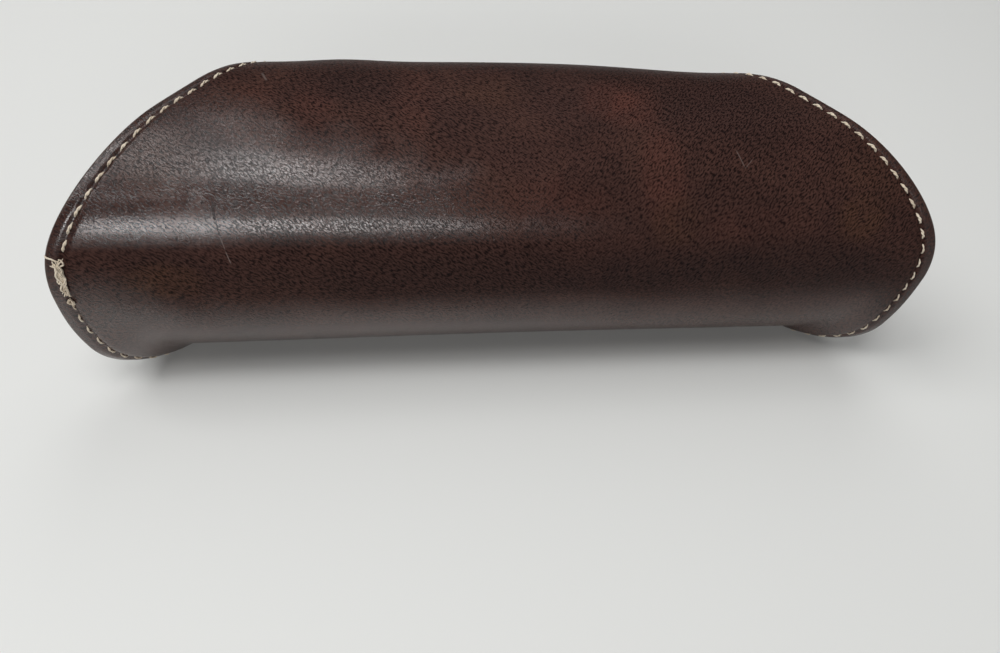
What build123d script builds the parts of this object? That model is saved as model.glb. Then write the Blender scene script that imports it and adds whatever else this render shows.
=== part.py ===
from build123d import *
import os
from math import atan2, cos, hypot, pi, radians, sin, sqrt

# A stiffened leather glasses case, lying with its flap under it. X runs along the case, Y from
# the mouth (-Y) to the closed far side, Z up. One leather sheet goes round the case: flap, fold,
# top, far side and underside. Slanted end panels with turned rims close the body. All in mm.

# Overall form
case_length = 170.0  # tip to tip, along the mouth
far_length = 94.0  # along the closed far side, so the ends slant
case_depth = 54.0
case_height = 52.5
low_corner_radius = 20.0  # the ends round inwards near the table, seen from the mouth

# Cross-section corners
ridge_radius = 25.0
front_roll_radius = 19.0
far_top_radius = 20.0
far_low_radius = 17.0

# Sheets
leather_thickness = 1.3
board_thickness = 1.2
lining_thickness = 0.7
glue_line = 0.05

# Fold and flap
fold_angle = 23.0  # degrees above level, seen from the middle of the ridge arc
crease_thickness = 0.6  # the leather is pared thin where it folds
fold_clearance = 0.75  # from the crease line to the flap's leather
stack_clearance = 0.6  # from the crease line to the flap's board and lining
flap_gap = 0.4  # between the closed flap and the body under it
tongue_reach = 14.0  # Y of the flap's free edge, under the case
tongue_corner_radius = 18.0
lip_angle = 35.0  # degrees that the body's lower lip follows the front roll upwards

# Ends
flange_reach = 4.5  # the cover stands this far past the end panels, along X
rim_setback = 0.6  # turned rim of an end panel, back from the cover's edge
end_leather_thickness = 1.2
end_board_thickness = 1.2
board_end_clearance = 0.5  # between an end panel and the cover's board
flap_board_margin = 6.0  # the flap's board stops this far from its cut ends
tongue_board_margin = 5.0  # and this far from its free edge
lining_setback = 0.5  # flap's lining, back from the leather's cut edge

# Magnetic catch
magnet_diameter = 12.0
magnet_thickness = 1.0
magnet_pocket_clearance = 0.1
magnet_setback = 13.0  # from the flap's free edge to the magnets' centres
magnet_spacing = 46.0  # between the two pairs

# Stitching
stitch_pitch = 3.5
stitch_length = 2.5
thread_diameter = 0.7
thread_sides = 6
stitch_margin = 3.0  # from the cut edge to the seam, along X
stitch_clearance = 0.05
fold_stitch_margin = 2.2  # from the crease line to the nearest stitch's end
body_seam_length = 100.0  # measured round the cross-section from the fold
flap_seam_turn = 62.0  # degrees round the front roll where the flap's shown seam ends
lip_stitch_margin = 2.5
lip_seam_margin = 10.0  # the lip's seam stops this far from the end linings
seam_step = 0.1  # fineness of the walk along a seam
crease_lap = 1.2  # how far the pared crease reaches up to the full leather

flap_stack = leather_thickness + board_thickness + lining_thickness + 2 * glue_line
body_floor = flap_stack + flap_gap
near = -case_depth / 2
far = case_depth / 2
reach = case_length  # more than the case's width and height
overrun = 5.0  # trimming blocks run this far past the case
trim_corner_radius = 1.0  # of the blocks' own corners, clear of the case

ridge_y = near + ridge_radius
ridge_z = case_height - ridge_radius
roll_y = near + front_roll_radius
roll_z = front_roll_radius
fold_direction = (-cos(radians(fold_angle)), sin(radians(fold_angle)))
axis_depth = crease_thickness / 2
axis_radius = ridge_radius - axis_depth
fold_axis_y = ridge_y + axis_radius * fold_direction[0]
fold_axis_z = ridge_z + axis_radius * fold_direction[1]


def section(inset, floor):
    # Closed cross-section in YZ, a given depth under the outer surface.
    low = floor + inset
    high = case_height - inset
    corners = [(near + inset, low), (far - inset, low), (far - inset, high), (near + inset, high)]
    radii = [front_roll_radius - floor, far_low_radius, far_top_radius, ridge_radius]
    outline = FilletPolyline(*corners, radius=[r - inset for r in radii], close=True)
    return make_face(outline)


def run_along(face):
    return extrude(Plane.YZ * face, amount=case_length / 2 + overrun, both=True)


def prism(points):
    return run_along(make_face(Polyline(*points, close=True)))


def half_length(y):
    slope = (case_length - far_length) / 2 / case_depth
    return case_length / 2 - slope * (y - near)


def low_corners(back):
    # Block whose ends round inwards near the table, seen from the mouth.
    side = case_length / 2 - back
    top = case_height + overrun
    low, high = low_corner_radius, trim_corner_radius
    corners = [(side, 0), (side, top), (-side, top), (-side, 0)]
    front = FilletPolyline(*corners, radius=[low, high, high, low], close=True)
    return extrude(Plane.XZ * make_face(front), amount=reach, both=True)


def end_trim(back):
    # Everything between the two slanted ends, each moved in by `back` along X.
    first = near - overrun
    last = far + overrun
    tip = half_length(first) - back
    tail = half_length(last) - back
    plan = make_face(Polyline((-tip, first), (tip, first), (tail, last), (-tail, last), close=True))
    return extrude(Plane.XY.offset(-reach) * plan, amount=3 * reach) & low_corners(back)


def between(outer, inner, floor):
    return run_along(section(outer, floor)) - run_along(section(inner, floor))


def ray(centre, direction, side_shift=0.0, length=reach):
    # Point far out along a direction, moved sideways (positive is towards the flap).
    y = centre[0] + direction[0] * length - direction[1] * side_shift
    z = centre[1] + direction[1] * length + direction[0] * side_shift
    return (y, z)


def wedge(first_shift, last):
    # Region below the fold: from the ray through the crease line round to the points in `last`.
    start = (ridge_y, ridge_z)
    return prism([ray(start, fold_direction, first_shift, 0), ray(start, fold_direction, first_shift), *last])


def mouth_cut(shift):
    lip = (-sin(radians(lip_angle)), -cos(radians(lip_angle)))
    last = [(near - reach, -reach), ray((roll_y, roll_z), lip), (roll_y, roll_z)]
    return wedge(shift, last)


def flap_zone(shift):
    edge = (tongue_reach + far) / 2
    return wedge(shift, [(near - reach, -reach), (edge, -reach), (edge, roll_z)])


def tongue_outline(setback, back):
    # Outline of the flap: slanted ends, with the two free corners rounded in plan.
    edge = tongue_reach - setback
    first = near - overrun
    tip = half_length(first) - back
    tail = half_length(edge) - back
    small, large = trim_corner_radius, tongue_corner_radius - setback
    corners = [(-tip, first), (tip, first), (tail, edge), (-tail, edge)]
    plan = FilletPolyline(*corners, radius=[small, small, large, large], close=True)
    return extrude(Plane.XY.offset(-reach) * make_face(plan), amount=3 * reach) & low_corners(back)


def one(shape):
    # The largest solid of a result.
    return max(shape.solids(), key=lambda s: s.volume)


def on_profile(step):
    # Point and outward normal on the outer cross-section, by distance from the fold.
    # Positive distances go up over the ridge, negative ones down the flap.
    start = radians(180 - fold_angle)
    if step <= 0:
        arc = ridge_radius * (pi - start)
        if -step <= arc:
            a = start - step / ridge_radius
            return ridge_y + ridge_radius * cos(a), ridge_z + ridge_radius * sin(a), cos(a), sin(a)
        step = -step - arc
        wall = ridge_z - roll_z
        if step <= wall:
            return near, ridge_z - step, -1.0, 0.0
        a = pi + (step - wall) / front_roll_radius
        return roll_y + front_roll_radius * cos(a), roll_z + front_roll_radius * sin(a), cos(a), sin(a)
    pieces = [
        ("arc", ridge_y, ridge_z, ridge_radius, start, pi / 2),
        ("line", ridge_y, case_height, far - far_top_radius, case_height, 0),
        ("arc", far - far_top_radius, case_height - far_top_radius, far_top_radius, pi / 2, 0.0),
        ("line", far, case_height - far_top_radius, far, body_floor + far_low_radius, 0),
        ("arc", far - far_low_radius, body_floor + far_low_radius, far_low_radius, 0.0, -pi / 2),
    ]
    for kind, a, b, c, d, e in pieces:
        if kind == "arc":
            length = c * (d - e)
            if step <= length:
                turn = d - step / c
                return a + c * cos(turn), b + c * sin(turn), cos(turn), sin(turn)
        else:
            length = hypot(c - a, d - b)
            if step <= length:
                share = step / length
                across = ((d - b) / length, (c - a) / length)
                out = (-across[0], across[1])
                return a + share * (c - a), b + share * (d - b), out[0], out[1]
        step -= length
    return None


def seam_x(y, z):
    # Distance of the seam from the middle of the case.
    slanted = half_length(y) - stitch_margin
    side = case_length / 2 - stitch_margin
    if z >= low_corner_radius:
        return slanted
    drop = low_corner_radius - z
    rounded = side - low_corner_radius + sqrt(max(low_corner_radius**2 - drop**2, 0.0))
    return min(slanted, rounded)


def seam_points(direction, length):
    # Points at one stitch pitch along the seam, measured in space.
    points = []
    travel = 0.0
    along = fold_stitch_margin + stitch_length / 2
    last = None
    position = 0.0
    while position < length:
        found = on_profile(direction * position)
        if found is None:
            break
        y, z, ny, nz = found
        here = (seam_x(y, z), y, z, ny, nz)
        if last is not None:
            travel += sqrt(sum((here[i] - last[i]) ** 2 for i in range(3)))
            if travel >= along:
                points.append(here + tuple(here[i] - last[i] for i in range(3)))
                along += stitch_pitch
        last = here
        position += seam_step
    return points


def stitch(x, y, z, ny, nz, dx, dy, dz):
    # One stitch: a short faceted thread lying on the leather.
    lift = thread_diameter / 2 + stitch_clearance
    at = Plane(origin=(x, y + ny * lift, z + nz * lift), x_dir=(0, ny, nz), z_dir=(dx, dy, dz))
    profile = at * RegularPolygon(thread_diameter / 2, thread_sides)
    return extrude(profile, amount=stitch_length / 2, both=True)


def end_seam(side, direction, length):
    stitches = []
    for x, y, z, ny, nz, dx, dy, dz in seam_points(direction, length):
        stitches.append(stitch(side * x, y, z, ny, nz, side * dx, dy, dz))
    return Compound(children=stitches)


def lip_seam():
    # Stitches along the body's lower lip, on the lining.
    radius = front_roll_radius - body_floor - flap_stack - thread_diameter / 2 - stitch_clearance
    angle = radians(lip_angle) - lip_stitch_margin / radius
    y = roll_y - radius * sin(angle)
    z = roll_z - radius * cos(angle)
    run = half_length(y) - lining_back - lip_seam_margin
    count = int(2 * run / stitch_pitch)
    thread = extrude(RegularPolygon(thread_diameter / 2, thread_sides), stitch_length)
    bar = Pos(0, y, z) * Rot(0, 90, 0) * thread
    return [Pos((i - count / 2) * stitch_pitch, 0, 0) * bar for i in range(count)]


def magnet_places():
    y = tongue_reach - magnet_setback
    return [(-magnet_spacing / 2, y), (magnet_spacing / 2, y)]


def discs(low, thickness, diameter):
    made = []
    for x, y in magnet_places():
        made.append(Pos(x, y, low + thickness / 2) * Cylinder(diameter / 2, thickness))
    return made


def low_front():
    # Quarter of the cross-section where the body's lower lip follows the closed flap.
    return prism([(near - reach, -reach), (roll_y, -reach), (roll_y, roll_z), (near - reach, roll_z)])


def body_sheet(outer, inner, back, shift):
    # Sheet of the body's wall, with the lip lying inside the closed flap.
    main = between(outer, inner, body_floor) - low_front()
    lip = between(body_floor + outer, body_floor + inner, 0) & low_front()
    return one(((main + lip) & trims[back]) - mouth_cut(shift))


def cover_leather():
    # Top, far side and underside, with the pared crease that the flap turns on.
    skin = body_sheet(0, leather_thickness, 0.0, -crease_lap + glue_line)
    start = (ridge_y, ridge_z)
    lip = make_face(
        Polyline(
            ray(start, fold_direction, 0, ridge_radius - crease_thickness),
            ray(start, fold_direction, 0, ridge_radius),
            ray(start, fold_direction, -crease_lap, sqrt(ridge_radius**2 - crease_lap**2)),
            ray(start, fold_direction, -crease_lap, ridge_radius - crease_thickness),
            close=True,
        )
    )
    nose = Pos(fold_axis_y, fold_axis_z) * Circle(crease_thickness / 2)
    crease = run_along(lip) + run_along(nose)
    return one(skin + (crease & trims[0.0]))


def cover_board():
    depth = leather_thickness + glue_line
    board = body_sheet(depth, depth + board_thickness, board_back, -stack_clearance)
    for disc in discs(body_floor + depth, board_thickness, magnet_diameter + 2 * magnet_pocket_clearance):
        board = board - disc
    return one(board)


def cover_lining():
    depth = leather_thickness + board_thickness + 2 * glue_line
    return body_sheet(depth, depth + lining_thickness, lining_back, -stack_clearance)


def body_core(depth):
    # Solid inside of the body at a depth, kept behind the closed flap.
    front = mouth_cut(-stack_clearance) + low_front()
    upper = run_along(section(depth, body_floor)) - front
    behind = run_along(section(body_floor + depth, 0)) & front
    return upper + behind


def end_slab(core, first, last):
    # Slice of the core between two slanted cuts, one solid for each end.
    slab = (core & trims[first]) - trims[last]
    return sorted(slab.solids(), key=lambda s: s.center().X)


def end_leather():
    # Panel with its rim turned outwards against the cover.
    rim = end_slab(body_core(end_start), rim_setback, end_board_back - glue_line)
    hollow = body_core(end_start + end_leather_thickness) - trims[panel_back]
    return [one(side - hollow) for side in rim]


def flap_leather():
    ring = between(0, leather_thickness, 0) & flap_zone(fold_clearance)
    return one(ring & tongue_outline(0, 0))


def flap_board():
    depth = leather_thickness + glue_line
    ring = between(depth, depth + board_thickness, 0) & flap_zone(stack_clearance)
    board = ring & tongue_outline(tongue_board_margin, flap_board_margin)
    for disc in discs(depth, board_thickness, magnet_diameter + 2 * magnet_pocket_clearance):
        board = board - disc
    return one(board)


def flap_lining():
    # Raised over the board and let down onto the leather all round it.
    depth = leather_thickness + glue_line
    board_top = depth + board_thickness + glue_line
    zone = flap_zone(stack_clearance)
    step = lining_thickness + glue_line
    raised = tongue_outline(tongue_board_margin - step, flap_board_margin - step)
    tray = tongue_outline(tongue_board_margin - glue_line, flap_board_margin - glue_line)
    low = between(depth, depth + lining_thickness, 0) & zone & tongue_outline(lining_setback, lining_setback)
    high = between(depth, flap_stack, 0) & zone & raised
    return one((low + high) - (between(0, board_top, 0) & tray))


def save(shape, name):
    shape.label = name
    export_step(shape, f"parts/{name}.step")


slant = atan2((case_length - far_length) / 2, case_depth)
end_start = leather_thickness + glue_line
panel_back = flange_reach
end_board_back = panel_back + end_leather_thickness / cos(slant) + glue_line
end_lining_back = end_board_back + end_board_thickness / cos(slant) + glue_line
lining_back = end_lining_back + lining_thickness / cos(slant) + glue_line
board_back = end_board_back + board_end_clearance
cuts = [
    0.0,
    rim_setback,
    panel_back,
    end_board_back - glue_line,
    end_board_back,
    end_lining_back - glue_line,
    end_lining_back,
    lining_back - glue_line,
    lining_back,
    board_back,
]
trims = {back: end_trim(back) for back in cuts}


def build():
    os.makedirs("parts", exist_ok=True)
    save(cover_leather(), "cover_leather")
    save(cover_board(), "cover_board")
    save(cover_lining(), "cover_lining")
    save(flap_leather(), "flap_leather")
    save(flap_board(), "flap_board")
    save(flap_lining(), "flap_lining")

    board_core = body_core(end_start + board_thickness + glue_line)
    boards = end_slab(board_core, end_board_back, end_lining_back - glue_line)
    linings = end_slab(board_core, end_lining_back, lining_back - glue_line)
    leathers = end_leather()
    flap_seam_length = ridge_radius * radians(fold_angle) + ridge_z - roll_z
    flap_seam_length += front_roll_radius * radians(flap_seam_turn)
    for i, name in enumerate(("left", "right")):
        side = 2 * i - 1
        save(leathers[i], f"{name}_end_leather")
        save(boards[i], f"{name}_end_board")
        save(linings[i], f"{name}_end_lining")
        save(end_seam(side, 1, body_seam_length), f"{name}_body_seam")
        save(end_seam(side, -1, flap_seam_length), f"{name}_flap_seam")

    save(Compound(children=lip_seam()), "lip_seam")
    pocket_low = leather_thickness + glue_line
    save(Compound(children=discs(pocket_low, magnet_thickness, magnet_diameter)), "flap_magnets")
    save(Compound(children=discs(body_floor + pocket_low, magnet_thickness, magnet_diameter)), "catch_discs")
    print("fold line at", round(fold_axis_y, 4), round(fold_axis_z, 4))


build()
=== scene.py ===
from math import atan, cos, hypot, pi, radians, sin, sqrt

import bpy
import numpy as np
from mathutils import Matrix, Vector


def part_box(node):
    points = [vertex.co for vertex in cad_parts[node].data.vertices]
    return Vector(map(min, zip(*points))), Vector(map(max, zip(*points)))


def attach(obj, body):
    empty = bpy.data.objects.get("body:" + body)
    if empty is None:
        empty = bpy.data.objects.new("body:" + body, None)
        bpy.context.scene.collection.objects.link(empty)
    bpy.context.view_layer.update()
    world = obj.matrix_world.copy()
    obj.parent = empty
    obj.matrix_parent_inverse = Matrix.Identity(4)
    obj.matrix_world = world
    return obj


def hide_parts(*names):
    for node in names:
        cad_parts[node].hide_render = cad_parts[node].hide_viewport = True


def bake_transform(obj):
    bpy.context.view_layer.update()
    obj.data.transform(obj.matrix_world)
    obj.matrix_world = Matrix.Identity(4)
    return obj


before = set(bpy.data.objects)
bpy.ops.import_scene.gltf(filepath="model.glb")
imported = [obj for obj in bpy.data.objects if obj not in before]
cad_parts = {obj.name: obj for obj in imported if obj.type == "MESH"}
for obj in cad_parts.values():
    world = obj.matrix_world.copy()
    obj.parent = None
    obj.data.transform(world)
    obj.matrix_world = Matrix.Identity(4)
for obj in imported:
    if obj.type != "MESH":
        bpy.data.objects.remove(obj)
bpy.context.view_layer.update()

mm = 0.001
chance = np.random.default_rng(11)


# shader sockets that take plain maths

class Value:
    def __init__(self, finish, socket):
        self.finish = finish
        self.socket = socket

    def maths(self, operation, a, b):
        return self.finish.node("ShaderNodeMath", {"operation": operation}, {0: a, 1: b})

    def __add__(self, other):
        return self.maths("ADD", self, other)

    def __radd__(self, other):
        return self.maths("ADD", other, self)

    def __sub__(self, other):
        return self.maths("SUBTRACT", self, other)

    def __rsub__(self, other):
        return self.maths("SUBTRACT", other, self)

    def __mul__(self, other):
        return self.maths("MULTIPLY", self, other)

    def __rmul__(self, other):
        return self.maths("MULTIPLY", other, self)

    def __truediv__(self, other):
        return self.maths("DIVIDE", self, other)

    def __rtruediv__(self, other):
        return self.maths("DIVIDE", other, self)


class Finish:                                 # one material, and the only way nodes are added to it
    def __init__(self, name, constants):
        self.material = bpy.data.materials.new(name)
        self.material.use_nodes = True
        self.nodes = self.material.node_tree.nodes
        self.links = self.material.node_tree.links
        self.shader = self.nodes["Principled BSDF"]
        for key, value in constants.items():
            self.shader.inputs[key].default_value = value

    def node(self, kind, settings=None, sockets=None, output=0):
        made = self.nodes.new(kind)
        for key, value in (settings or {}).items():
            if key == "stops":
                stops = made.color_ramp.elements
                while len(stops) < len(value):
                    stops.new(1.0)
                for stop, (place, colour) in zip(stops, value):
                    stop.position = place
                    stop.color = (*colour, 1.0)
            else:
                setattr(made, key, value)
        for key, value in (sockets or {}).items():
            self.feed(made.inputs[key], value)
        return Value(self, made.outputs[output])

    def feed(self, socket, value):
        if isinstance(value, Value):
            self.links.new(value.socket, socket)
        else:
            socket.default_value = value

    def set(self, name, value):
        self.feed(self.shader.inputs[name], value)

    def mix(self, factor, a, b):              # 6 and 7 are the sockets for colours, 2 gives the colour
        a, b = [(*c, 1.0) if isinstance(c, tuple) else c for c in (a, b)]
        return self.node("ShaderNodeMix", {"data_type": "RGBA"}, {0: factor, 6: a, 7: b}, 2)

    def noise(self, place, scale, detail=2.0, rough=0.5, twist=0.0, output=0, flat=True):
        sockets = {"Vector": place, "Scale": scale, "Detail": detail, "Roughness": rough,
                   "Distortion": twist}
        dimensions = {"noise_dimensions": "2D" if flat else "3D"}
        return self.node("ShaderNodeTexNoise", dimensions, sockets, output)

    def cells(self, place, scale):            # 0 on the lines between cells
        settings = {"voronoi_dimensions": "2D", "feature": "DISTANCE_TO_EDGE"}
        return self.node("ShaderNodeTexVoronoi", settings, {"Vector": place, "Scale": scale})

    def ramp(self, value, stops):
        return self.node("ShaderNodeValToRGB", {"stops": stops}, {"Fac": value})

    def step(self, value, low, high):         # 0 below low, 1 above high, smooth between
        sockets = {"Value": value, "From Min": low, "From Max": high}
        return self.node("ShaderNodeMapRange", {"interpolation_type": "SMOOTHSTEP"}, sockets)

    def over(self, value, stretch):           # the same over a stretch in mm
        low, high = stretch
        return self.step(value, low * mm, high * mm)

    def bump(self, height, strength, depth):  # depth in mm
        sockets = {"Height": height, "Strength": strength, "Distance": depth * mm}
        return self.node("ShaderNodeBump", None, sockets)

    def split(self, vector):
        first = self.node("ShaderNodeSeparateXYZ", None, {0: vector})
        return [Value(self, socket) for socket in first.socket.node.outputs]

    def flatPlace(self):
        return self.node("ShaderNodeAttribute", {"attribute_name": "flatPlace"}, None, 1)

    def objectPlace(self):
        return self.node("ShaderNodeTexCoord", None, None, 3)


# leather: flatPlace holds each point's place on the uncut hide, X along the case and Y round it
# from the fold, and in Z how far it is from the cut edge. A noise is its scale, detail, roughness
# and twist, as far as they are given.

leather = {
    "dark": (0.0225, 0.0098, 0.0088),
    "middle": (0.041, 0.0172, 0.0142),
    "pale": (0.057, 0.0250, 0.0190),
    "red": (0.095, 0.0315, 0.0230),
    "orange": (0.070, 0.0310, 0.0160),
    # the colour of the dark patches: stains on the top, and painted shade on the near face
    "deep": (0.0130, 0.0064, 0.0072),
    # the colour that the painted shade in the grain's hollows darkens towards, and the colour of dark
    # marks
    "hollowShadeAndMarks": (0.0062, 0.0030, 0.0027),
    # the raised grain's paler colour: partly rubbed wear, partly painted light
    "raised": (0.105, 0.054, 0.042),
    "worn": (0.085, 0.052, 0.036),
    "scratch": (0.20, 0.155, 0.14),
    "cloud": (34, 4.0, 0.55, 0.6),
    "veins": (85, 5.0, 0.62, 1.1),
    "cloudShare": 0.6,                        # of the tone; the rest is veins
    "tones": [(0.36, "dark"), (0.50, "middle"), (0.62, "pale"), (0.72, "middle")],
    "hollow": (0.45, 0.35),                   # painted shade: how far a pore, and any hollow of the grain, is darkened
    "litGrainShare": 0.34,                        # painted light and rubbed wear: how far the raised grain is paled
    "shadeToLitGrain": (0.37, 0.62),                   # strokes, from a hollow in painted shade to the paled raised grain
    # places on the hide in mm: along, round from the fold, half sizes, strength
    "redPatches": [(21.5, 31.5, 6.5, 5.5, 1.0), (27.5, 14, 3.6, 8, 0.6), (-20, 32, 3.6, 8, 0.35),
                   (-39, 30, 3.5, 6, 0.35), (-50, 32, 3, 4, 0.3), (7, 9, 8, 4, 0.3),
                   (46, 4, 10, 3, 0.25)],
    "orangePatches": [(68, 5, 4, 4, 0.7), (71, 14, 6, 7, 0.3), (-66, -6, 6, 3.2, 0.9),
                      (-65.5, 17, 6, 5, 0.35), (30, 5, 4, 4, 0.5), (-4, 34, 6, 5, 0.3),
                      (50, -30, 14, 8, 0.3)],
    # dark patches: those below the fold, on the near face, are painted shade; those on the top are stains
    "deepPatches": [(-30, 37, 8, 5, 0.7), (47, 31, 15, 9, 0.55), (-9, 25, 6, 6, 0.4),
                    (56, -4, 16, 5, 0.5), (-8, -6, 40, 5.5, 0.75), (48, -8, 30, 6, 0.7)],
    "patchFades": 2.6,                        # square of the half sizes where a patch is gone
    "patchVeins": (0.34, 0.60),               # veins make it ragged
    "patchKeeps": 0.45,                       # of its strength, between the veins
    "rub": (130, 3.0),                        # the cut edge is rubbed pale in places
    "rubbed": (0.38, 0.6),
    "rubWidth": (0.1, 0.9),                   # mm
    "rubTint": 0.5,
    # fine marks in mm: from, to, half width, strength, pale above 0 and dark below
    "marks": [(-56.3, 10.0, -55.9, 6.0, 0.20, -0.65), (-55.9, 6.4, -55.0, 2.6, 0.16, -0.65),
              (-55.2, 3.2, -54.4, 0.4, 0.10, 0.55), (-54.5, 0.6, -53.6, -2.4, 0.12, 0.7),
              (42.6, 19.6, 44.2, 15.2, 0.13, 0.5), (44.1, 15.3, 46.0, 17.4, 0.10, 0.4),
              (-49.6, 41.0, -48.2, 37.6, 0.30, 0.45)],
    "markTaper": 0.25,                        # of its length, at each end
    "markDepth": (0.3, 0.9),                  # pale and dark, in depths of the grain
}

# short strokes that lean with the hide, over a net of fine creases
grain = {
    "strokes": (3100, 2.5, 0.6),              # in a metre, across their lean
    "creases": 3300,
    "fibre": (4200, 2.0),
    "depth": 0.07,                            # mm
    "lean": (-0.62, 0.85),                    # radians, on the left and on the right
    "slim": (0.34, 0.40),                     # a stroke's width to its length there
    "leanTurns": (-14, 34),                   # mm along the case, from the one lean to the other
    "leanDrift": (26, 50),                    # noise scale and mm
    "warp": (260, 0.8),
    "pits": (0.38, 0.48),                     # strokes, from pit to grain
    "creaseLines": (0.0, 0.15),
    "creasePores": 0.4,                       # how much of a pit's painted shade a crease gets, and of its roughness
    "relief": {"creases": ((0.0, 0.16), 0.4), "strokes": ((0.34, 0.48), 0.6), "fibre": 0.05},
    # rubbed smooth, in mm: at the left end of the ridge, and on the low roll
    "smoothAlong": (-62, -44),
    "smoothDrift": 24,
    "smoothRound": ((-2, 1), (9, 15)),
    "smoothKeeps": 0.25,
    "rollSmooth": (13, 21),
    "rollLoses": 0.72,
}

# dry leather all over, and glazed where handling has polished it; stretches in mm
gloss = {
    "dull": 1.13,                             # index of refraction, dry and glazed
    "glazed": 1.72,
    "dullRoughness": 0.42,
    "roughness": 0.175,
    "poreRoughness": 0.10,
    "patchy": (48, 3.0),
    "patchyRoughness": 0.14,
    "top": (10, 18),                          # past the ridge it is softer
    "topRoughness": 0.07,
    "drift": (42, 4.0, 0.6),                  # the glaze has ragged edges
    "driftReach": 26,
    "driftRound": 0.5,                        # of it, round the case, and on the roll
    "driftRoll": 0.2,
    "leftPart": (-26, 30),                    # on the ridge and top, it ends along the case here
    "pastFold": (0.4, 4.2),                   # it starts here, round from the fold
    "topEnds": (17, 36),                      # and ends here on the top, on a slant
    "slant": (50, 0.4),
    "corner": ((-72, -50), (9, 14), 0.5),     # less in the upper left corner: along, round, how much
    "roll": (8, 23),                          # the low roll, down from the fold
    "tip": ((-78, -52), 7),                   # higher up near the left tip
    "rollFades": ((-30, 45), 0.42),           # to the right
    "rim": ((2.1, 2.7), 0.3),                 # outside the seam, faint
}


def addUp(values):
    total = values[0]
    for value in values[1:]:
        total = total + value
    return total


def patches(made, along, around, spots):
    masks = []
    for x, s, halfX, halfS, strength in spots:
        dx = (along - x * mm) / (halfX * mm)
        ds = (around - s * mm) / (halfS * mm)
        masks.append((1 - made.step(dx * dx + ds * ds, 0.0, leather["patchFades"])) * strength)
    return addUp(masks)


def markMask(made, along, around, pale):
    masks = []
    taper = leather["markTaper"]
    for x0, s0, x1, s1, half, strength in leather["marks"]:
        if (strength > 0) != pale:
            continue
        length = hypot(x1 - x0, s1 - s0)
        ux, us = (x1 - x0) / length, (s1 - s0) / length
        run = ((along - x0 * mm) * ux + (around - s0 * mm) * us) / (length * mm)
        off = (along - x0 * mm) * us - (around - s0 * mm) * ux
        line = (1 - made.step(off * off, 0.0, (half * mm) ** 2)) * made.step(run, 0.0, taper)
        masks.append(line * (1 - made.step(run, 1 - taper, 1.0)) * abs(strength))
    return addUp(masks)


def leaningPlace(made, along, around, angle, shorter):
    # the hide's place turned by an angle, and drawn shorter along that way
    ahead = along * (cos(angle) * shorter) + around * (sin(angle) * shorter)
    aside = around * cos(angle) - along * sin(angle)
    return made.node("ShaderNodeCombineXYZ", None, {0: ahead, 1: aside})


def strokesAndCreases(made, place, along, around):
    # both lean one way on the left and the other way on the right
    scale, reach = grain["warp"]
    warp, warpAside, _ = made.split(made.noise(place, scale, output=1))
    bentAlong = along + (warp - 0.5) * (reach * mm)
    bentAround = around + (warpAside - 0.5) * (reach * mm)
    scale, reach = grain["leanDrift"]
    drift = (made.noise(place, scale) - 0.5) * (reach * mm)
    toRight = made.over(along + drift, grain["leanTurns"])
    strokes, creases = [], []
    for lean, slim, share in zip(grain["lean"], grain["slim"], (1 - toRight, toRight)):
        leaning = leaningPlace(made, bentAlong, bentAround, lean, slim)
        strokes.append(made.noise(leaning, *grain["strokes"]) * share)
        creases.append(made.cells(leaning, grain["creases"]) * share)
    return addUp(strokes), addUp(creases)


def grainLeft(made, along, around, cloud):
    # how much of the grain wear has left
    drift = (cloud - 0.5) * (grain["smoothDrift"] * mm)
    atEnd = 1 - made.over(along + drift, grain["smoothAlong"])
    starts, stops = grain["smoothRound"]
    smooth = atEnd * made.over(around, starts) * (1 - made.over(around, stops))
    onRoll = made.over(0 - around, grain["rollSmooth"])
    keeps = grain["smoothKeeps"]
    return ((1 - smooth) * (1 - keeps) + keeps) * (1 - onRoll * grain["rollLoses"])


def stained(made, along, around, cloud, veins):
    # the hide's brown with its red and orange stains, and its dark patches: stains on the top, painted
    # shade on the near face below the fold
    share, keeps = leather["cloudShare"], leather["patchKeeps"]
    stops = [(place, leather[tone]) for place, tone in leather["tones"]]
    colour = made.ramp(cloud * share + veins * (1 - share), stops)
    ragged = made.step(veins, *leather["patchVeins"]) * (1 - keeps) + keeps
    for tone in ("red", "orange", "deep"):
        mask = patches(made, along, around, leather[tone + "Patches"]) * ragged
        colour = made.mix(mask, colour, leather[tone])
    return colour


def glazing(made, place, along, around, edge):
    # where handling has glazed the leather: left part of the ridge and top, the low roll, the rim
    drift = (made.noise(place, *gloss["drift"]) - 0.5) * (gloss["driftReach"] * mm)
    x, s = along + drift, around + drift * gloss["driftRound"]
    fromLeft, slant = gloss["slant"]
    onTop = 1 - made.over(s + (x + fromLeft * mm) * slant, gloss["topEnds"])
    onRidge = (1 - made.over(x, gloss["leftPart"])) * made.over(around, gloss["pastFold"]) * onTop
    alongCorner, roundCorner, loses = gloss["corner"]
    onRidge = onRidge * (1 - (1 - made.over(x, alongCorner)) * made.over(s, roundCorner) * loses)
    tip, higher = gloss["tip"]
    nearTip = (1 - made.over(x, tip)) * (higher * mm)
    fades, loses = gloss["rollFades"]
    onRoll = made.over(nearTip - around - drift * gloss["driftRoll"], gloss["roll"])
    onRoll = onRoll * (1 - made.over(x, fades) * loses)
    rim, faint = gloss["rim"]
    onRim = (1 - made.over(edge, rim)) * faint
    return onRidge + onRoll + onRim * (1 - onRoll)


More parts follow.
